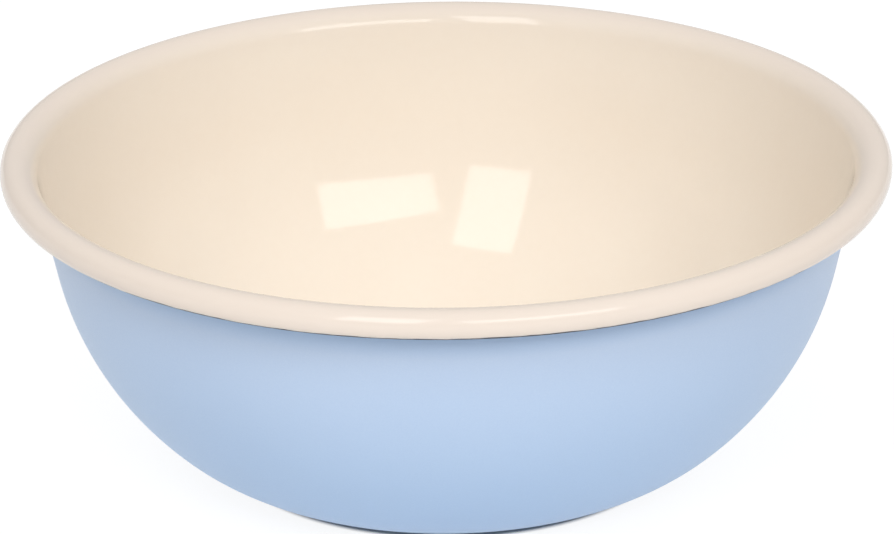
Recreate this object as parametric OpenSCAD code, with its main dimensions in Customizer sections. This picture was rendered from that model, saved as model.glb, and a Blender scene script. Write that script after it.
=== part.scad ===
// Enamel basin bowl: one deep-drawn steel shell with a flared, rolled rim,
// under a dark ground enamel, a cream cover enamel inside and over the rim,
// and a pale blue cover enamel outside.
// Millimetres, +Z up, origin at the centre of the standing face.

/* [Rim] */
// Overall diameter across the rolled rim
rim_d = 260; // [200:1:320]
// Diameter of the rolled bead, over the enamel
bead_d = 8.4; // [7:0.1:12]
// Radius of the flare from the inside wall to the bead's top, over the enamel
flare_r = 6.9; // [5:0.1:12]
// Turn of the roll below the bead's outermost point, to the sheet's cut edge
roll_turn = 100; // [80:1:130]
// Turn below the bead's outermost point at which the cream enamel stops
cream_turn = 41; // [30:1:75]

/* [Wall] */
// Radius of the upper wall's outside curve
wall_arc_r = 92; // [70:1:110]
// Radius of the lower wall's outside curve
low_arc_r = 62; // [40:1:65]
// Radius of the outside curve from the lower wall into the base
corner_arc_r = 24; // [12:1:35]
// Slope at which the upper wall hands over to the lower wall
wall_turn = 47; // [35:1:60]
// Slope at which the lower wall hands over to the base curve
low_turn = 68; // [62:1:80]
// Length of the straight stretch between the wall's curve and the flare
straight_l = 28; // [15:1:40]
// Lean of the straight stretch, outwards from upright
wall_lean = 12; // [6:1:20]

/* [Base] */
// Width of the flat ring that the bowl stands on
stand_w = 9; // [4:0.5:14]
// Rise of the pressed-up panel inside the standing ring
panel_rise = 1.2; // [0.4:0.1:2.5]
// Radius of the two soft bends between panel and standing ring
panel_bend_r = 6; // [4:0.5:10]

/* [Sheet and enamel] */
// Thickness of the steel sheet
steel_t = 0.8; // [0.5:0.05:1.2]
// Thickness of the dark ground enamel on each side
ground_t = 0.1; // [0.05:0.01:0.2]
// Thickness of the cream cover enamel
cream_t = 0.2; // [0.1:0.01:0.4]
// Thickness of the blue cover enamel
blue_t = 0.2; // [0.1:0.01:0.4]

/* [Hidden] */
$fn = 180;

cream_colour = [0.955, 0.885, 0.800];
blue_colour = [0.690, 0.780, 0.905];
ground_colour = [0.090, 0.105, 0.135];
steel_colour = [0.600, 0.610, 0.620];

// How far a cutting outline runs past what it cuts
overrun = 1;
// Length of the small lap that ties neighbouring stretches of the section together
lap_l = 0.1;
// Share of a layer's thickness that its laps stay below each face
lap_cover_share = 0.2;
// Step of the first placing move; the second move takes the remainder
place_step = 0.001;

// Depths are measured from the sheet's inside face, positive towards its outside face
cream_face = -(ground_t + cream_t);
ground_face_in = -ground_t;
ground_face_out = steel_t + ground_t;
blue_face = steel_t + ground_t + blue_t;

// Radii of the sheet's inside face along the section
flare_face_r = flare_r + cream_face;
bead_face_r = bead_d / 2 + cream_face;
wall_face_r = wall_arc_r - blue_face;
low_face_r = low_arc_r - blue_face;
corner_face_r = corner_arc_r - blue_face;

function ray(angle) = [cos(angle), sin(angle)];

// Section, worked out from the rim downwards for radii and from the base upwards for heights
wall_x = (rim_d - bead_d) / 2 - straight_l * sin(wall_lean)
       - (wall_face_r + flare_face_r) * cos(wall_lean);
panel_bend = acos(1 - panel_rise / (2 * panel_bend_r));
panel_run = 2 * panel_bend_r * sin(panel_bend);
base_r = wall_x
       + (wall_face_r - low_face_r) * cos(wall_turn)
       + (low_face_r - corner_face_r) * cos(low_turn);
stand_z = blue_face;
panel_z = stand_z + panel_rise;
stand_inner_r = base_r - stand_w;
panel_r = stand_inner_r - panel_run;

corner_c = [base_r, stand_z + corner_face_r];
low_c = corner_c - (low_face_r - corner_face_r) * ray(-low_turn);
wall_c = low_c - (wall_face_r - low_face_r) * ray(-wall_turn);
flare_c = wall_c + (wall_face_r + flare_face_r) * ray(-wall_lean)
        + straight_l * ray(90 - wall_lean);
bead_c = flare_c + [0, flare_face_r - bead_face_r];
panel_bend_c = [panel_r, panel_z - panel_bend_r];
stand_bend_c = [stand_inner_r, stand_z + panel_bend_r];

// The cut edge's ground enamel is as thick along the roll as it is on the faces
edge_turn = ground_t / (bead_face_r - steel_t / 2) * 180 / PI;

// Knots along the section: a point of the sheet's inside face, and the way to its outside face
function knot(centre, radius, angle, side) = [centre + radius * ray(angle), side * ray(angle)];
down = [0, -1];
knots = [
    [[0, panel_z], down],
    [[panel_r, panel_z], down],
    knot(panel_bend_c, panel_bend_r, 90 - panel_bend, -1),
    [[stand_inner_r, stand_z], down],
    [[base_r, stand_z], down],
    knot(corner_c, corner_face_r, -low_turn, 1),
    knot(low_c, low_face_r, -wall_turn, 1),
    knot(wall_c, wall_face_r, -wall_lean, 1),
    knot(flare_c, flare_face_r, 180 - wall_lean, -1),
    knot(flare_c, flare_face_r, 90, -1),
    knot(bead_c, bead_face_r, 0, -1),
    knot(bead_c, bead_face_r, -cream_turn, -1),
    knot(bead_c, bead_face_r, -roll_turn, -1),
    knot(bead_c, bead_face_r, -roll_turn - edge_turn, -1)
];

// Curves between neighbouring knots: centre, radius, and 1 where the centre is on the
// inside of the bowl or -1 where it is outside. A straight stretch has none.
curves = [
    [],
    [panel_bend_c, panel_bend_r, -1],
    [stand_bend_c, panel_bend_r, 1],
    [],
    [corner_c, corner_face_r, 1],
    [low_c, low_face_r, 1],
    [wall_c, wall_face_r, 1],
    [],
    [flare_c, flare_face_r, -1],
    [bead_c, bead_face_r, -1],
    [bead_c, bead_face_r, -1],
    [bead_c, bead_face_r, -1],
    [bead_c, bead_face_r, -1]
];
flare_top = 9;
cream_end = 11;
sheet_end = 12;
edge_end = 13;

overall_h = flare_c[1] + flare_face_r - cream_face;
echo(overall_h = overall_h, standing_ring_r = [stand_inner_r, base_r]);

function at_depth(k, depth) = knots[k][0] + depth * knots[k][1];

// Sets its children at a point in two moves, so that touching arcs meet to a millionth
module place(point) {
    coarse = [for (v = point) floor(v / place_step) * place_step];
    translate(coarse) translate(point - coarse) children();
}

// One stretch of the section after knot k, between two depths
module stretch(k, inner, outer) {
    if (len(curves[k]) == 0) {
        polygon([at_depth(k, inner), at_depth(k, outer),
                 at_depth(k + 1, outer), at_depth(k + 1, inner)]);
    } else {
        centre = curves[k][0];
        side = curves[k][2];
        radii = [curves[k][1] + side * inner, curves[k][1] + side * outer];
        half_turn = acos(knots[k][1] * knots[k + 1][1]) / 2;
        middle = side * (knots[k][1] + knots[k + 1][1]) / (2 * cos(half_turn));
        bulge = centre + (max(radii) + overrun) / cos(half_turn) * middle;
        near = side > 0 ? inner - overrun : outer + overrun;
        far = side > 0 ? outer + overrun : inner - overrun;
        intersection() {
            difference() {
                place(centre) circle(r = max(radii));
                place(centre) circle(r = min(radii));
            }
            polygon([at_depth(k, near), at_depth(k, far), bulge,
                     at_depth(k + 1, far), at_depth(k + 1, near)]);
        }
    }
}

// A lap across knot k, inside the layer, so that the stretches that meet there join
module lap(k, inner, outer) {
    cover = lap_cover_share * (outer - inner);
    normal = knots[k][1];
    along = lap_l / 2 * [-normal[1], normal[0]];
    polygon([at_depth(k, inner + cover) - along, at_depth(k, outer - cover) - along,
             at_depth(k, outer - cover) + along, at_depth(k, inner + cover) + along]);
}

// The section from knot first to knot last, between two depths
module section(inner, outer, last, first = 0) {
    for (k = [first : last - 1]) stretch(k, inner, outer);
    if (last > first + 1)
        for (k = [first + 1 : last - 1]) lap(k, inner, outer);
}

// Deep-drawn sheet with its flared and rolled rim
module steel_shell() {
    color(steel_colour) rotate_extrude() section(0, steel_t, sheet_end);
}

// First firing on the inside face, over the rim to the cut edge
module ground_coat_inside() {
    color(ground_colour) rotate_extrude() section(ground_face_in, 0, sheet_end);
}

// First firing on the outside face, into the roll and round the cut edge
module ground_coat_outside() {
    color(ground_colour) rotate_extrude() {
        section(steel_t, ground_face_out, sheet_end);
        lap(sheet_end, steel_t, ground_face_out);
        section(ground_face_in, ground_face_out, edge_end, sheet_end);
    }
}

// Second firing inside, over the flare and down the bead
module cream_coat() {
    color(cream_colour) rotate_extrude() section(cream_face, ground_face_in, cream_end);
}

// Second firing outside, from the base up under the flare
module blue_coat() {
    color(blue_colour) rotate_extrude() section(ground_face_out, blue_face, flare_top);
}

steel_shell();
ground_coat_inside();
ground_coat_outside();
cream_coat();
blue_coat();
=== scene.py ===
"""Enamel basin bowl: cream and pale blue enamel over a pressed steel shell, on a white studio floor."""

import math
from collections import namedtuple

import bpy
from bpy.props import FloatProperty, FloatVectorProperty, IntProperty, PointerProperty
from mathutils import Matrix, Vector


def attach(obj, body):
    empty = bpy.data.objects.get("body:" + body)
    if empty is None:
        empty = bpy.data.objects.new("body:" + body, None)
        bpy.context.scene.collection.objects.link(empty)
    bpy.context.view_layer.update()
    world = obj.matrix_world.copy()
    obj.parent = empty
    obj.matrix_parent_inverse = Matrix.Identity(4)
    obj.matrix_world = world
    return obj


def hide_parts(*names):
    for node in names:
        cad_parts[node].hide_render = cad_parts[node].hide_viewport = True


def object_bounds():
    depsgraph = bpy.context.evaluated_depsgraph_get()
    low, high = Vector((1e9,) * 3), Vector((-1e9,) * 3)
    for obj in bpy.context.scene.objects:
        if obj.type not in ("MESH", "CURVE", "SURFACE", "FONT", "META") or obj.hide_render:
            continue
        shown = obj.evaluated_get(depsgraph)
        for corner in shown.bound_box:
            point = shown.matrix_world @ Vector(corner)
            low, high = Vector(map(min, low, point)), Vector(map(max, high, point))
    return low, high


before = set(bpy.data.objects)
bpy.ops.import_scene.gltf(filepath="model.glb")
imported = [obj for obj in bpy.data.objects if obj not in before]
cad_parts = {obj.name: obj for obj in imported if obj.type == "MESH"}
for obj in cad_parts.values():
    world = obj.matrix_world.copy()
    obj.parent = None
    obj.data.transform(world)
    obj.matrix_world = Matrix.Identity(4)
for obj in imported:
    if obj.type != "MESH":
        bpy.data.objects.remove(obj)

bl_info = {
    "name": "Enamel basin bowl",
    "version": (1, 0, 0),
    "blender": (4, 5, 0),
    "location": "3D View > Sidebar > Bowl",
    "description": "Models a pressed steel bowl with a rolled rim under its fired enamel coats",
    "category": "Object",
}

CAD_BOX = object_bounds()
MM = 0.001

# Section of the bowl, in the plane of radius and height
Straight = namedtuple("Straight", "start end normal")
Bend = namedtuple("Bend", "centre radius side start end")

# Turns of the bead over which drained enamel thickens, and fades again before the cut edge
DRAIN_FULL = math.radians(60)
DRAIN_FADE = math.radians(20)


def ray(angle):
    """Unit step at an angle in the section's plane."""
    return Vector((math.cos(angle), math.sin(angle)))


def ease(share):
    """A smooth step from 0 to 1."""
    share = min(max(share, 0), 1)
    return share * share * (3 - 2 * share)


class Section:
    """The sheet's inside face as a chain of tangent bends and straights, from the axis to the rolled rim.

    A depth is measured from that face, positive towards the outside of the bowl.
    """

    def __init__(self, shape):
        self.edge_length = shape.edge_length
        self.edge_turn = shape.edge_turn
        self.roll_turn = shape.roll_turn
        self.drain = shape.drain
        self.cream_face = -(shape.ground_t + shape.cream_t)
        self.ground_face_in = -shape.ground_t
        self.steel_face = shape.steel_t
        self.ground_face_out = shape.steel_t + shape.ground_t
        self.blue_face = self.ground_face_out + shape.blue_t

        flare_r = shape.flare_r + self.cream_face
        self.bead_r = shape.bead_d / 2 + self.cream_face
        wall_r = shape.wall_arc_r - self.blue_face
        low_r = shape.low_arc_r - self.blue_face
        corner_r = shape.corner_arc_r - self.blue_face
        lean = shape.wall_lean
        wall_x = ((shape.rim_d - shape.bead_d) / 2 - shape.straight_l * math.sin(lean)
                  - (wall_r + flare_r) * math.cos(lean))
        base_r = (wall_x + (wall_r - low_r) * math.cos(shape.wall_turn)
                  + (low_r - corner_r) * math.cos(shape.low_turn))
        stand_z = self.blue_face
        panel_z = stand_z + shape.panel_rise
        bend_r = shape.panel_bend_r
        bend = math.acos(1 - shape.panel_rise / (2 * bend_r))
        stand_r = base_r - shape.stand_w
        panel_r = stand_r - 2 * bend_r * math.sin(bend)

        corner_c = Vector((base_r, stand_z + corner_r))
        low_c = corner_c - (low_r - corner_r) * ray(-shape.low_turn)
        wall_c = low_c - (wall_r - low_r) * ray(-shape.wall_turn)
        quarter = math.pi / 2
        straight_start = wall_c + wall_r * ray(-lean)
        straight_end = straight_start + shape.straight_l * ray(quarter - lean)
        flare_c = straight_end + flare_r * ray(-lean)
        self.bead_c = flare_c + Vector((0, flare_r - self.bead_r))
        down = Vector((0, -1))
        self.body = [
            Straight(Vector((0, panel_z)), Vector((panel_r, panel_z)), down),
            Bend(Vector((panel_r, panel_z - bend_r)), bend_r, -1, quarter, quarter - bend),
            Bend(Vector((stand_r, stand_z + bend_r)), bend_r, 1, -quarter - bend, -quarter),
            Straight(Vector((stand_r, stand_z)), Vector((base_r, stand_z)), down),
            Bend(corner_c, corner_r, 1, -quarter, -shape.low_turn),
            Bend(low_c, low_r, 1, -shape.low_turn, -shape.wall_turn),
            Bend(wall_c, wall_r, 1, -shape.wall_turn, -lean),
            Straight(straight_start, straight_end, ray(-lean)),
            Bend(flare_c, flare_r, -1, math.pi - lean, quarter),
        ]

    def steps(self, length, turn=0):
        """Mesh steps for a stretch of a length that turns through an angle."""
        return math.ceil(max(length / self.edge_length, turn / self.edge_turn))

    def bead_point(self, turn, depth):
        """A point of the bead at a turn below its outermost point.

        Coats over the rim gather on the underside, where they drained while wet.
        """
        gathered = 0
        if depth < 0:
            thickening = ease(turn / DRAIN_FULL)
            fading = ease((self.roll_turn - turn) / DRAIN_FADE)
            gathered = self.drain * min(thickening, fading)
        return self.bead_c + (self.bead_r - depth + gathered) * ray(-turn)

    def face(self, depth, roll_turn=None):
        """Points of the face at a depth, from the axis to the flare's top or down the bead to a turn."""
        points = []
        for stretch in self.body:
            if isinstance(stretch, Straight):
                count = self.steps((stretch.end - stretch.start).length)
            else:
                turn = abs(stretch.end - stretch.start)
                count = self.steps(turn * stretch.radius, turn)
            points += [point_on(stretch, i / count, depth) for i in range(count)]
        if roll_turn is None:
            return points + [point_on(self.body[-1], 1, depth)]
        whole = math.pi / 2 + roll_turn
        count = self.steps(whole * self.bead_r, whole)
        return points + [self.bead_point(whole * i / count - math.pi / 2, depth) for i in range(count + 1)]


def point_on(stretch, share, depth):
    """The point a share along a stretch of the section, at a depth."""
    if isinstance(stretch, Straight):
        return stretch.start.lerp(stretch.end, share) + depth * stretch.normal
    angle = stretch.start + share * (stretch.end - stretch.start)
    return stretch.centre + (stretch.radius + stretch.side * depth) * ray(angle)


def round_end(first, last, bulge, steps=6):
    """Points of a half ellipse that closes a coat's edge from its first face to its last."""
    middle = (first + last) / 2
    half = first - middle
    across = Vector((half.y, -half.x)).normalized() * bulge
    turns = [math.pi * i / steps for i in range(1, steps)]
    return [middle + half * math.cos(a) - across * math.sin(a) for a in turns]


class BowlShape(bpy.types.PropertyGroup):
    """Sizes of the pressing and its coats."""
    rim_d: FloatProperty(
        name="Rim diameter", description="Across the rolled rim, over the enamel",
        default=CAD_BOX[1][0] - CAD_BOX[0][0], unit="LENGTH")
    bead_d: FloatProperty(
        name="Bead diameter", description="Thickness of the rolled bead, over the enamel",
        default=8.4 * MM, unit="LENGTH")
    flare_r: FloatProperty(
        name="Flare radius", description="From the inside wall to the bead's top",
        default=6.9 * MM, unit="LENGTH")
    roll_turn: FloatProperty(
        name="Roll turn", description="From the bead's outermost point down to the sheet's cut edge",
        default=math.radians(100), subtype="ANGLE")
    cream_turn: FloatProperty(
        name="Cream turn", description="From the bead's outermost point down to the cream coat's edge",
        default=math.radians(41), subtype="ANGLE")
    wall_arc_r: FloatProperty(
        name="Upper wall radius", description="Outside curve of the upper wall",
        default=92 * MM, unit="LENGTH")
    low_arc_r: FloatProperty(
        name="Lower wall radius", description="Outside curve of the lower wall",
        default=62 * MM, unit="LENGTH")
    corner_arc_r: FloatProperty(
        name="Base curve radius", description="Outside curve from the lower wall into the base",
        default=24 * MM, unit="LENGTH")
    wall_turn: FloatProperty(
        name="Upper wall slope", description="Where the upper wall hands over to the lower wall",
        default=math.radians(47), subtype="ANGLE")
    low_turn: FloatProperty(
        name="Lower wall slope", description="Where the lower wall hands over to the base curve",
        default=math.radians(68), subtype="ANGLE")
    straight_l: FloatProperty(
        name="Straight wall", description="Length between the wall's curve and the flare",
        default=28 * MM, unit="LENGTH")
    wall_lean: FloatProperty(
        name="Wall lean", description="Lean of the straight wall, outwards from upright",
        default=math.radians(12), subtype="ANGLE")
    stand_w: FloatProperty(
        name="Standing ring", description="Width of the flat ring under the base",
        default=9 * MM, unit="LENGTH")
    panel_rise: FloatProperty(
        name="Panel rise", description="Height of the pressed-up panel inside the standing ring",
        default=1.2 * MM, unit="LENGTH")
    panel_bend_r: FloatProperty(
        name="Panel bend radius", description="The two soft bends round the panel",
        default=6 * MM, unit="LENGTH")
    steel_t: FloatProperty(
        name="Sheet", description="Thickness of the steel", default=0.8 * MM, unit="LENGTH")
    ground_t: FloatProperty(
        name="Ground coat", description="Thickness on each face", default=0.1 * MM, unit="LENGTH")
    cream_t: FloatProperty(
        name="Cream coat", description="Thickness of the cover enamel", default=0.2 * MM, unit="LENGTH")
    blue_t: FloatProperty(
        name="Blue coat", description="Thickness of the cover enamel", default=0.2 * MM, unit="LENGTH")
    drain: FloatProperty(
        name="Drained enamel", description="Extra thickness gathered on the underside of the bead",
        default=0.28 * MM, unit="LENGTH")
    edge_waver: FloatProperty(
        name="Edge waver", description="How far the cream coat's lower edge strays along the bead",
        default=math.radians(6), subtype="ANGLE")
    edge_length: FloatProperty(
        name="Edge length", description="Longest mesh edge along the section",
        default=2.4 * MM, unit="LENGTH")
    edge_turn: FloatProperty(
        name="Edge turn", description="Largest turn between mesh edges along the section",
        default=math.radians(7.5), subtype="ANGLE")
    spin_steps: IntProperty(
        name="Spin steps", description="Mesh steps round the axis", default=288, min=24)


class EnamelLook(bpy.types.PropertyGroup):
    """Colours of the steel and the enamel coats."""
    cream: FloatVectorProperty(
        name="Cream", description="Cover enamel inside and over the rim",
        default=(0.94, 0.853, 0.744), subtype="COLOR", size=3)
    cream_thick: FloatVectorProperty(
        name="Cream, thick", description="The same where the slip ran thicker",
        default=(0.924, 0.829, 0.714), subtype="COLOR", size=3)
    # The cream turns darker and duller over the flare and bead
    cream_rim: FloatVectorProperty(
        name="Cream, rim", description="The same where it is thinner over the flare and bead",
        default=(0.89, 0.77, 0.678), subtype="COLOR", size=3)
    cream_thin: FloatVectorProperty(
        name="Cream, thin", description="The same where it thins out over the dark ground",
        default=(0.62, 0.60, 0.56), subtype="COLOR", size=3)
    blue: FloatVectorProperty(
        name="Blue", description="Cover enamel outside",
        default=(0.575, 0.70, 0.895), subtype="COLOR", size=3)
    # Painted shading: a deeper, bluer tone near the base, from which the blue pales up the wall
    blue_base_shading: FloatVectorProperty(
        name="Blue, low", description="The same near the base, where the coat is thicker",
        default=(0.487, 0.68, 0.94), subtype="COLOR", size=3)
    # Painted shadow: the blue darkened just under the flare, where the rim shades the wall
    blue_lip_shadow: FloatVectorProperty(
        name="Blue, lip", description="The same where it gathers under the flare",
        default=(0.50, 0.665, 0.915), subtype="COLOR", size=3)
    blue_deep: FloatVectorProperty(
        name="Blue, deep", description="The darker grains of the same",
        default=(0.40, 0.56, 0.82), subtype="COLOR", size=3)
    ground: FloatVectorProperty(
        name="Ground", description="Dark ground enamel",
        default=(0.012, 0.016, 0.026), subtype="COLOR", size=3)
    ground_burnt: FloatVectorProperty(
        name="Ground, burnt", description="Ground enamel burnt brown along the cut edge",
        default=(0.045, 0.026, 0.016), subtype="COLOR", size=3)
    steel: FloatVectorProperty(
        name="Steel", description="Sheet under the enamel",
        default=(0.55, 0.56, 0.57), subtype="COLOR", size=3)


class StudioSetup(bpy.types.PropertyGroup):
    """Camera, lamps and backdrop."""
    camera_distance: FloatProperty(
        name="Camera distance", description="From the rim's centre", default=1.43, unit="LENGTH")
    camera_elevation: FloatProperty(
        name="Camera elevation", description="Above the rim's plane",
        default=math.radians(20.9), subtype="ANGLE")
    camera_drop: FloatProperty(
        name="Camera drop", description="How far the camera aims below the rim's centre",
        default=math.radians(1.29), subtype="ANGLE")
    camera_roll: FloatProperty(
        name="Camera roll", description="Turn about the line of sight",
        default=math.radians(-0.53), subtype="ANGLE")
    lens: FloatProperty(
        name="Lens", description="Focal length in millimetres on a 36 mm sensor", default=197.0)
    lamp_distance: FloatProperty(
        name="Lamp distance", description="From the bowl's back wall", default=4.5, unit="LENGTH")
    lamp_level: FloatProperty(
        name="Lamp level", description="Brightness of a softbox, where 1 is white", default=4.3)
    back_level: FloatProperty(
        name="Back level", description="Brightness of the room high behind the bowl, where 1 is white",
        default=0.68)
    front_level: FloatProperty(
        name="Front level", description="Brightness of the room high above the camera, where 1 is white",
        default=0.215)
    side_level: FloatProperty(
        name="Side level", description="Brightness of the room at the left and right, where 1 is white",
        default=0.15)
    floor_shadow: FloatProperty(
        name="Floor shadow", description="Share of the floor's white that lighting and shadow change",
        default=0.18, subtype="FACTOR")
    contact_r: FloatProperty(
        name="Contact shadow", description="Radius within which the floor keeps its full shadow",
        default=66.3 * MM, unit="LENGTH")
    floor_tone: FloatVectorProperty(
        name="Floor", description="Colour of the floor", default=(0.9, 0.9, 0.9),
        subtype="COLOR", size=3)


Softbox = namedtuple("Softbox", "name azimuth elevation turn tilt roll width_share height_share")
# Directions in degrees from the bowl's back wall, counted from the camera's side, how each lamp then turns
# away from facing that wall, and sizes as shares of the lamp distance
SOFTBOXES = (
    Softbox("softbox_right", 23, 35.2, 14.2, 5.7, -1.5, 0.627, 0.291),
    Softbox("softbox_left", -17, 41.1, -1.9, 12.3, -1.9, 0.315, 0.584),
)
# The spot on the back wall that these directions start from
LAMP_TARGET = Vector((0.0, 0.1, 0.036))
# Power of an area lamp for each square metre at a level of 1
LAMP_POWER = 4
# Elevation of the room's glow behind the bowl and in front
ROOM_TILT = math.radians(45)

# Millimetres for the sensor, metres for what the camera can see
SENSOR_W = 36
NEAREST, FARTHEST = 0.01, 100

FLOOR_SIZE = 12
# How far the floor lies under the standing ring
FLOOR_GAP = 0.1 * MM
# Least light that falls on the open floor
OPEN_LIGHT = 0.6
# Width over which the full shadow close to the bowl fades into the soft one
CONTACT_FADE = 2 * MM

# Vertices closer than this are one
MERGE_GAP = 0.002 * MM
# Faces that meet more sharply than this keep their edge
SMOOTH_ANGLE = math.radians(50)

# How the cream coat's lower edge strays: slow runs and short nicks, by waves round the rim
Wave = namedtuple("Wave", "count size phase")
EDGE_WAVES = (
    Wave(3, 0.22, 0.4), Wave(7, 0.18, 1.9), Wave(17, 0.16, 4.1),
    Wave(41, 0.20, 2.6), Wave(83, 0.22, 0.9), Wave(131, 0.16, 5.2),
)
# A vertex belongs to that edge within so many bead radii, and so many turns of the edge
EDGE_REACH = 1.5

# Noise features a metre in each coat, and the steel's along and across its grain
CREAM_CLOUDS, CREAM_GLOSS, CREAM_PEEL, CREAM_RAGS, CREAM_MOTTLE = 16, 60, 240, 380, 420
BLUE_DRIFT, BLUE_PEEL, BLUE_GRAIN = 18, 1500, 1900
GROUND_BURNS, GROUND_PEEL, GROUND_GLOSS = 260, 700, 900
STEEL_LINES = (60, 2400, 2400)

# Heights of each coat's orange peel
CREAM_PEEL_H, BLUE_PEEL_H, GROUND_PEEL_H = 0.012 * MM, 0.006 * MM, 0.02 * MM

# Shares of each pattern in a coat's tone
CLOUD_SHARE = 0.7
RIM_TONE_SHARE = 0.75
GRAIN_SHARE, DRIFT_SHARE = 0.12, 0.08

# Distances from the bead's centre: inwards for the rim's tone, downwards for thin cream and burnt ground
RIM_TONE_START, RIM_TONE_FULL = 7.5 * MM, 3 * MM
BEAD_FADE = 1 * MM
THIN_START, THIN_FULL = 2.2 * MM, 3.4 * MM
BURN_START, BURN_FULL = 3 * MM, 4 * MM

# Heights between which painted shading pales the blue upwards, and a painted shadow deepens it again under
# the flare
BLUE_SHADING_HEIGHTS = (10 * MM, 75 * MM)
BLUE_LIP_SHADOW = (77 * MM, 83 * MM)

CREAM_IOR, BLUE_IOR = 1.34, 1.5


def spin_outline(name, outline, steps):
    """Draws an outline vertex by vertex from a collapsed plane, spins it round the axis and closes it."""
    bpy.ops.object.select_all(action="DESELECT")
    bpy.ops.mesh.primitive_plane_add(size=outline[0].length, enter_editmode=True)
    piece = bpy.context.object
    piece.name = name
    piece.data.name = name
    bpy.ops.mesh.select_all(action="SELECT")
    bpy.ops.mesh.merge(type="CENTER")
    last = Vector((0, 0))
    for point in outline:
        move = {"value": (point.x - last.x, 0, point.y - last.y)}
        if last.length == 0:
            bpy.ops.transform.translate(**move)
        else:
            bpy.ops.mesh.extrude_region_move(TRANSFORM_OT_translate=move)
        last = point
    bpy.ops.mesh.select_all(action="SELECT")
    bpy.ops.mesh.spin(steps=steps, angle=2 * math.pi, center=(0, 0, 0), axis=(0, 0, 1))
    bpy.ops.mesh.select_all(action="SELECT")
    bpy.ops.mesh.remove_doubles(threshold=MERGE_GAP)
    bpy.ops.mesh.normals_make_consistent(inside=False)
    bpy.ops.object.mode_set(mode="OBJECT")
    return piece


def finish_piece(piece, material, slot, *nodes):
    """Shades a piece, gives it its material, hangs it under the root body and hides the CAD nodes that it
    stands for.
    """
    bpy.ops.object.select_all(action="DESELECT")
    piece.select_set(True)
    bpy.context.view_layer.objects.active = piece
    bpy.ops.object.shade_smooth_by_angle(angle=SMOOTH_ANGLE)
    piece.data.materials.clear()
    piece.data.materials.append(material)
    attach(piece, "root")
    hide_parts(*nodes)


def edge_stray(azimuth):
    """How the cream coat's edge strays at an azimuth, between about -1 and 1."""
    return sum(wave.size * math.sin(wave.count * azimuth + wave.phase) for wave in EDGE_WAVES)


def waver_edge(piece, section, turn, waver):
    """Slides the coat's lower edge along the bead, so that it strays as a wiped enamel edge does."""
    for vertex in piece.data.vertices:
        x, y, z = vertex.co
        arm = Vector((math.hypot(x, y), z)) - section.bead_c
        angle = math.atan2(arm.y, arm.x)
        if arm.length > EDGE_REACH * section.bead_r or not -EDGE_REACH * turn <= angle < 0:
            continue
        azimuth = math.atan2(y, x)
        angle *= 1 + waver * edge_stray(azimuth) / turn
        spot = section.bead_c + arm.length * ray(angle)
        vertex.co = (spot.x * math.cos(azimuth), spot.x * math.sin(azimuth), spot.y)


# Node helpers
def new_material(name):
    """A material with only its output and a Principled shader."""
    material = bpy.data.materials.new(name)
    material.use_nodes = True
    tree = material.node_tree
    tree.nodes.clear()
    shader = tree.nodes.new("ShaderNodeBsdfPrincipled")
    output = tree.nodes.new("ShaderNodeOutputMaterial")
    tree.links.new(shader.outputs["BSDF"], output.inputs["Surface"])
    return material, tree, shader


def add(tree, kind, inputs=(), **settings):
    """Adds a node, sets it up and fills its inputs with values or links."""
    node = tree.nodes.new(kind)
    for key, value in settings.items():
        setattr(node, key, value)
    for key, value in dict(inputs).items():
        if isinstance(value, bpy.types.NodeSocket):
            tree.links.new(value, node.inputs[key])
        else:
            node.inputs[key].default_value = value
    return node


def object_coords(tree):
    """The piece's own coordinates, in metres."""
    return add(tree, "ShaderNodeTexCoord").outputs["Object"]


def from_axis(tree, coords):
    """How far out from the bowl's axis a point lies."""
    level = add(tree, "ShaderNodeVectorMath", {0: coords, 1: (1, 1, 0)}, operation="MULTIPLY")
    length = add(tree, "ShaderNodeVectorMath", {0: level.outputs["Vector"]}, operation="LENGTH")
    return length.outputs["Value"]


def height_of(tree, coords):
    """How high a point lies."""
    return add(tree, "ShaderNodeSeparateXYZ", {"Vector": coords}).outputs["Z"]


def noise(tree, coords, scale, detail=2.0):
    """A noise value at so many features a metre."""
    node = add(tree, "ShaderNodeTexNoise", {"Vector": coords, "Scale": scale, "Detail": detail})
    return node.outputs["Fac"]


def remap(tree, value, low, high, to_low=0.0, to_high=1.0):
    """A value moved from one range to another and held inside it."""
    node = add(tree, "ShaderNodeMapRange", {"Value": value, "From Min": low, "From Max": high,
                                            "To Min": to_low, "To Max": to_high})
    return node.outputs["Result"]


def patches(tree, coords, scale, detail=2.0, low=0.3, high=0.7, to_low=0.0, to_high=1.0):
    """Noise stretched between a low and a high mark, and moved to another range."""
    return remap(tree, noise(tree, coords, scale, detail), low, high, to_low, to_high)


def math_node(tree, operation, first, second):
    """A sum, product or the like of two values."""
    return add(tree, "ShaderNodeMath", {0: first, 1: second}, operation=operation).outputs["Value"]


def weigh(tree, *weighted):
    """The sum of values, each times its weight."""
    total = 0.0
    for value, weight in weighted:
        node = add(tree, "ShaderNodeMath", {0: value, 1: weight, 2: total}, operation="MULTIPLY_ADD")
        total = node.outputs["Value"]
    return total


def mix_colour(tree, share, first, second):
    """A blend of two colours."""
    node = tree.nodes.new("ShaderNodeMix")
    node.data_type = "RGBA"
    for socket, value in ((node.inputs[0], share), (node.inputs[6], first), (node.inputs[7], second)):
        if isinstance(value, bpy.types.NodeSocket):
            tree.links.new(value, socket)
        else:
            socket.default_value = (*value, 1) if socket.type == "RGBA" else value
    return node.outputs[2]


def bump(tree, shader, height, distance):
    """Raises the surface by a height of so many metres."""
    node = add(tree, "ShaderNodeBump", {"Height": height, "Strength": 1.0, "Distance": distance})
    tree.links.new(node.outputs["Normal"], shader.inputs["Normal"])


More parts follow.
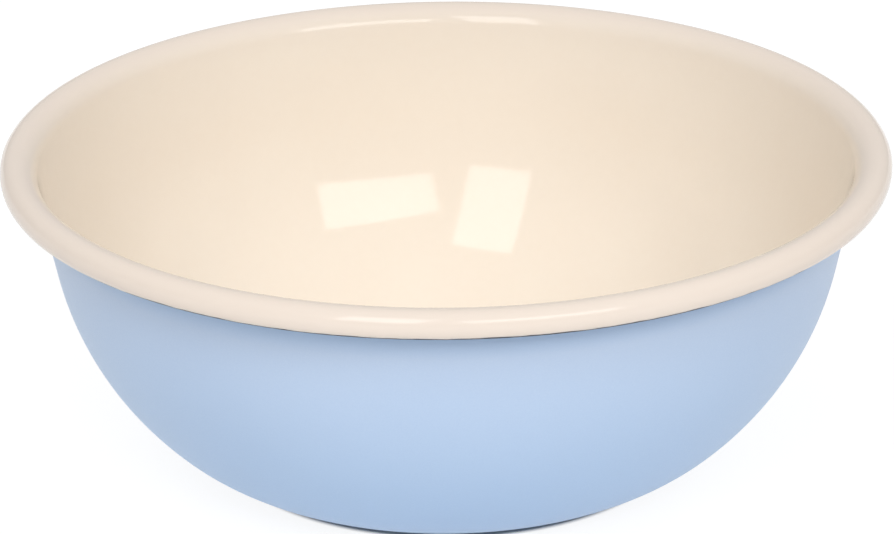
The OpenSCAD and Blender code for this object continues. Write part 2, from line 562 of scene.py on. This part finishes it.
def cream_enamel(look, section):
    """Glossy cream enamel with a faint orange peel, duller over the rim and greyer where it thins out."""
    material, tree, shader = new_material("cream_enamel")
    coords = object_coords(tree)
    clouds = patches(tree, coords, CREAM_CLOUDS, low=0.35, high=0.65)
    mottle = patches(tree, coords, CREAM_MOTTLE, detail=3)
    thickness = weigh(tree, (clouds, CLOUD_SHARE), (mottle, 1 - CLOUD_SHARE))
    colour = mix_colour(tree, thickness, look.cream, look.cream_thick)

    bead_x, bead_z = section.bead_c
    out = from_axis(tree, coords)
    on_rim = remap(tree, out, bead_x - RIM_TONE_START, bead_x - RIM_TONE_FULL, 0, RIM_TONE_SHARE)
    colour = mix_colour(tree, on_rim, colour, look.cream_rim)
    on_bead = remap(tree, out, bead_x - BEAD_FADE, bead_x)
    low = remap(tree, height_of(tree, coords), bead_z - THIN_START, bead_z - THIN_FULL)
    ragged = patches(tree, coords, CREAM_RAGS, detail=3, low=0.35)
    thin = math_node(tree, "MULTIPLY", math_node(tree, "MULTIPLY", on_bead, low), ragged)
    colour = mix_colour(tree, thin, colour, look.cream_thin)
    tree.links.new(colour, shader.inputs["Base Color"])

    gloss = patches(tree, coords, CREAM_GLOSS, detail=3, to_low=0.06, to_high=0.09)
    tree.links.new(gloss, shader.inputs["Roughness"])
    shader.inputs["IOR"].default_value = CREAM_IOR
    bump(tree, shader, noise(tree, coords, CREAM_PEEL, 1), CREAM_PEEL_H)
    return material


def blue_enamel(look):
    """Satin blue enamel with matt grain and slow drifts of tone; painted shading deepens it near the base,
    and a painted shadow darkens it under the flare.
    """
    material, tree, shader = new_material("blue_enamel")
    coords = object_coords(tree)
    height = height_of(tree, coords)
    # Painted shading that pales the blue up the wall, then a painted shadow under the flare
    coat = mix_colour(tree, remap(tree, height, *BLUE_SHADING_HEIGHTS), look.blue_base_shading, look.blue)
    coat = mix_colour(tree, remap(tree, height, *BLUE_LIP_SHADOW), coat, look.blue_lip_shadow)
    grain = patches(tree, coords, BLUE_GRAIN)
    drift = patches(tree, coords, BLUE_DRIFT)
    tone = weigh(tree, (grain, GRAIN_SHARE), (drift, DRIFT_SHARE))
    tree.links.new(mix_colour(tree, tone, coat, look.blue_deep), shader.inputs["Base Color"])
    tree.links.new(remap(tree, grain, 0, 1, 0.38, 0.48), shader.inputs["Roughness"])
    shader.inputs["IOR"].default_value = BLUE_IOR
    bump(tree, shader, noise(tree, coords, BLUE_PEEL), BLUE_PEEL_H)
    return material


def ground_enamel(look, section):
    """Blue-black ground enamel, burnt brown in places along the cut edge."""
    material, tree, shader = new_material("ground_enamel")
    coords = object_coords(tree)
    bead_z = section.bead_c.y
    near_edge = remap(tree, height_of(tree, coords), bead_z - BURN_START, bead_z - BURN_FULL)
    burns = patches(tree, coords, GROUND_BURNS, detail=3, low=0.48, high=0.66)
    burnt = math_node(tree, "MULTIPLY", near_edge, burns)
    tree.links.new(mix_colour(tree, burnt, look.ground, look.ground_burnt), shader.inputs["Base Color"])
    gloss = patches(tree, coords, GROUND_GLOSS, to_low=0.35, to_high=0.55)
    tree.links.new(gloss, shader.inputs["Roughness"])
    bump(tree, shader, noise(tree, coords, GROUND_PEEL), GROUND_PEEL_H)
    return material


def sheet_steel(look):
    """Rolled sheet with fine lines along its grain."""
    material, tree, shader = new_material("sheet_steel")
    stretched = add(tree, "ShaderNodeMapping", {"Vector": object_coords(tree), "Scale": STEEL_LINES})
    lines = patches(tree, stretched.outputs["Vector"], 1, to_low=0.28, to_high=0.42)
    shader.inputs["Base Color"].default_value = (*look.steel, 1)
    shader.inputs["Metallic"].default_value = 1.0
    tree.links.new(lines, shader.inputs["Roughness"])
    return material


class BOWL_OT_steel_shell(bpy.types.Operator):
    """Spin the pressed sheet with its flared and rolled rim"""
    bl_idname = "bowl.steel_shell"
    bl_label = "Steel shell"

    def execute(self, context):
        shape = context.scene.bowl_shape
        section = Section(shape)
        outline = section.face(0, shape.roll_turn) + section.face(section.steel_face, shape.roll_turn)[::-1]
        piece = spin_outline("steel_sheet", outline, shape.spin_steps)
        finish_piece(piece, sheet_steel(context.scene.bowl_look), "sheet_steel", "steel_shell")
        return {"FINISHED"}


class BOWL_OT_ground_coats(bpy.types.Operator):
    """Spin the dark first coats on both faces, with a rounded wrap over the cut edge"""
    bl_idname = "bowl.ground_coats"
    bl_label = "Ground coats"

    def execute(self, context):
        shape = context.scene.bowl_shape
        section = Section(shape)
        turn = shape.roll_turn
        material = ground_enamel(context.scene.bowl_look, section)

        inside = section.face(section.ground_face_in, turn) + section.face(0, turn)[::-1]
        piece = spin_outline("ground_enamel_inside", inside, shape.spin_steps)
        finish_piece(piece, material, "ground_enamel", "ground_coat_inside")

        outer = section.face(section.ground_face_out, turn)
        rim_side = section.bead_point(turn, section.ground_face_in)
        wrap = round_end(outer[-1], rim_side, 2 * shape.ground_t)
        outside = outer + wrap + [rim_side] + section.face(section.steel_face, turn)[::-1]
        piece = spin_outline("ground_enamel_outside", outside, shape.spin_steps)
        finish_piece(piece, material, "ground_enamel", "ground_coat_outside")
        return {"FINISHED"}


class BOWL_OT_cream_coat(bpy.types.Operator):
    """Spin the cream coat and let its lower edge stray along the bead"""
    bl_idname = "bowl.cream_coat"
    bl_label = "Cream coat"

    def execute(self, context):
        shape = context.scene.bowl_shape
        section = Section(shape)
        turn = shape.cream_turn
        front = section.face(section.cream_face, turn)
        back = section.face(section.ground_face_in, turn)[::-1]
        edge = round_end(front[-1], back[0], shape.cream_t / 2)
        piece = spin_outline("cream_enamel", front + edge + back, shape.spin_steps)
        waver_edge(piece, section, turn, shape.edge_waver)
        finish_piece(piece, cream_enamel(context.scene.bowl_look, section), "cream_enamel", "cream_coat")
        return {"FINISHED"}


class BOWL_OT_blue_coat(bpy.types.Operator):
    """Spin the blue coat from the base up under the flare"""
    bl_idname = "bowl.blue_coat"
    bl_label = "Blue coat"

    def execute(self, context):
        shape = context.scene.bowl_shape
        section = Section(shape)
        front = section.face(section.blue_face)
        back = section.face(section.ground_face_out)[::-1]
        edge = round_end(front[-1], back[0], -shape.blue_t / 2)
        piece = spin_outline("blue_enamel", front + edge + back, shape.spin_steps)
        finish_piece(piece, blue_enamel(context.scene.bowl_look), "blue_enamel", "blue_coat")
        return {"FINISHED"}


def seen_directly(tree):
    """1 for what the camera, a reflection or glass shows, 0 for what only lights other surfaces."""
    path = add(tree, "ShaderNodeLightPath")
    glossy = math_node(tree, "MAXIMUM", path.outputs["Is Camera Ray"], path.outputs["Is Glossy Ray"])
    return math_node(tree, "MAXIMUM", glossy, path.outputs["Is Transmission Ray"])


def towards(azimuth, elevation):
    """Unit step at an azimuth, counted from the camera's side to its right, and an elevation."""
    level = math.cos(elevation)
    return Vector((level * math.sin(azimuth), -level * math.cos(azimuth), math.sin(elevation)))


def floor_material(studio):
    """A white floor that keeps a soft shadow, full close to the bowl, and bounces light as matt white."""
    material, tree, shader = new_material("studio_white")
    shader.inputs["Base Color"].default_value = (*studio.floor_tone, 1)
    shader.inputs["Roughness"].default_value = 0.9
    shader.inputs["Specular IOR Level"].default_value = 0.0
    lit = tree.nodes.new("ShaderNodeBsdfDiffuse")
    lit.inputs["Color"].default_value = (*[studio.floor_shadow] * 3, 1)
    glow = add(tree, "ShaderNodeEmission", {"Strength": 1 - OPEN_LIGHT * studio.floor_shadow})
    white = add(tree, "ShaderNodeAddShader", {0: lit.outputs[0], 1: glow.outputs[0]})
    out = from_axis(tree, object_coords(tree))
    clear = remap(tree, out, studio.contact_r, studio.contact_r + CONTACT_FADE)
    share = math_node(tree, "MULTIPLY", seen_directly(tree), clear)
    seen = add(tree, "ShaderNodeMixShader", {0: share, 1: shader.outputs[0], 2: white.outputs[0]})
    tree.links.new(seen.outputs[0], tree.nodes["Material Output"].inputs["Surface"])
    return material


class BOWL_OT_studio(bpy.types.Operator):
    """Set the camera, the two softboxes, the softly lit room and the floor"""
    bl_idname = "bowl.studio"
    bl_label = "Studio"

    def execute(self, context):
        scene = context.scene
        studio = scene.bowl_studio
        section = Section(scene.bowl_shape)
        self.set_camera(scene, studio, Vector((0, 0, section.bead_c.y)))
        for softbox in SOFTBOXES:
            self.add_softbox(studio, softbox)
        self.light_room(scene, studio)
        self.lay_floor(studio)
        scene.view_settings.view_transform = "Standard"
        return {"FINISHED"}

    def set_camera(self, scene, studio, rim_centre):
        """Places the camera at the photograph's distance, height, aim and roll."""
        bpy.ops.object.select_all(action="DESELECT")
        bpy.ops.object.camera_add()
        camera = bpy.context.object
        camera.name = "camera"
        sight = Vector((0, math.cos(studio.camera_elevation), -math.sin(studio.camera_elevation)))
        camera.location = rim_centre - studio.camera_distance * sight
        tilt = studio.camera_elevation + studio.camera_drop
        aim = Vector((0, math.cos(tilt), -math.sin(tilt)))
        camera.rotation_euler = aim.to_track_quat("-Z", "Y").to_euler()
        camera.rotation_euler.rotate_axis("Z", studio.camera_roll)
        camera.data.sensor_width = SENSOR_W
        camera.data.lens = studio.lens
        camera.data.clip_start = NEAREST
        camera.data.clip_end = FARTHEST
        scene.camera = camera

    def add_softbox(self, studio, softbox):
        """Hangs a softbox that faces the bowl, as bright as a surface at the lamp level."""
        way = towards(math.radians(softbox.azimuth), math.radians(softbox.elevation))
        bpy.ops.object.light_add(type="AREA", location=LAMP_TARGET + studio.lamp_distance * way)
        lamp = bpy.context.object
        lamp.name = softbox.name
        lamp.rotation_euler = (-way).to_track_quat("-Z", "Y").to_euler()
        for axis, angle in (("Y", softbox.turn), ("X", softbox.tilt), ("Z", softbox.roll)):
            lamp.rotation_euler.rotate_axis(axis, math.radians(angle))
        lamp.data.shape = "RECTANGLE"
        lamp.data.size = softbox.width_share * studio.lamp_distance
        lamp.data.size_y = softbox.height_share * studio.lamp_distance
        lamp.data.energy = LAMP_POWER * studio.lamp_level * lamp.data.size * lamp.data.size_y

    def light_room(self, scene, studio):
        """Lights the room from high behind, high in front and both sides, with white below."""
        world = bpy.data.worlds.new("studio_room")
        world.use_nodes = True
        tree = world.node_tree
        way = add(tree, "ShaderNodeTexCoord").outputs["Generated"]
        level = math_node(tree, "LESS_THAN", height_of(tree, way), 0)
        quarter = math.pi / 2
        glows = ((2 * quarter, ROOM_TILT, studio.back_level), (0, ROOM_TILT, studio.front_level),
                 (quarter, 0, studio.side_level), (-quarter, 0, studio.side_level))
        for azimuth, elevation, glow in glows:
            centre = towards(azimuth, elevation)
            facing = add(tree, "ShaderNodeVectorMath", {0: way, 1: centre}, operation="DOT_PRODUCT")
            level = math_node(tree, "ADD", level, remap(tree, facing.outputs["Value"], 0, 1, 0, glow))
        tree.links.new(math_node(tree, "MINIMUM", level, 1), tree.nodes["Background"].inputs["Strength"])
        tree.nodes["Background"].inputs["Color"].default_value = (1, 1, 1, 1)
        scene.world = world

    def lay_floor(self, studio):
        """Lays the floor just under the standing ring."""
        bpy.ops.object.select_all(action="DESELECT")
        bpy.ops.mesh.primitive_plane_add(size=FLOOR_SIZE, location=(0, 0, -FLOOR_GAP))
        floor = bpy.context.object
        floor.name = "floor"
        floor.data.materials.append(floor_material(studio))


class BOWL_PT_panel(bpy.types.Panel):
    """The bowl's pieces and its studio"""
    bl_idname = "BOWL_PT_panel"
    bl_label = "Enamel bowl"
    bl_space_type = "VIEW_3D"
    bl_region_type = "UI"
    bl_category = "Bowl"

    def draw(self, context):
        for group in (context.scene.bowl_shape, context.scene.bowl_look, context.scene.bowl_studio):
            box = self.layout.box()
            for name in group.__annotations__:
                box.prop(group, name)
        for operator in OPERATORS:
            self.layout.operator(operator.bl_idname)


GROUPS = {"bowl_shape": BowlShape, "bowl_look": EnamelLook, "bowl_studio": StudioSetup}
OPERATORS = (BOWL_OT_steel_shell, BOWL_OT_ground_coats, BOWL_OT_cream_coat, BOWL_OT_blue_coat, BOWL_OT_studio)


def register():
    for name, group in GROUPS.items():
        bpy.utils.register_class(group)
        setattr(bpy.types.Scene, name, PointerProperty(type=group))
    for operator in OPERATORS:
        bpy.utils.register_class(operator)
    bpy.utils.register_class(BOWL_PT_panel)


def unregister():
    bpy.utils.unregister_class(BOWL_PT_panel)
    for operator in reversed(OPERATORS):
        bpy.utils.unregister_class(operator)
    for name, group in GROUPS.items():
        delattr(bpy.types.Scene, name)
        bpy.utils.unregister_class(group)


def main():
    register()
    bpy.ops.bowl.steel_shell()
    bpy.ops.bowl.ground_coats()
    bpy.ops.bowl.cream_coat()
    bpy.ops.bowl.blue_coat()
    bpy.ops.bowl.studio()


if __name__ == "__main__":
    main()
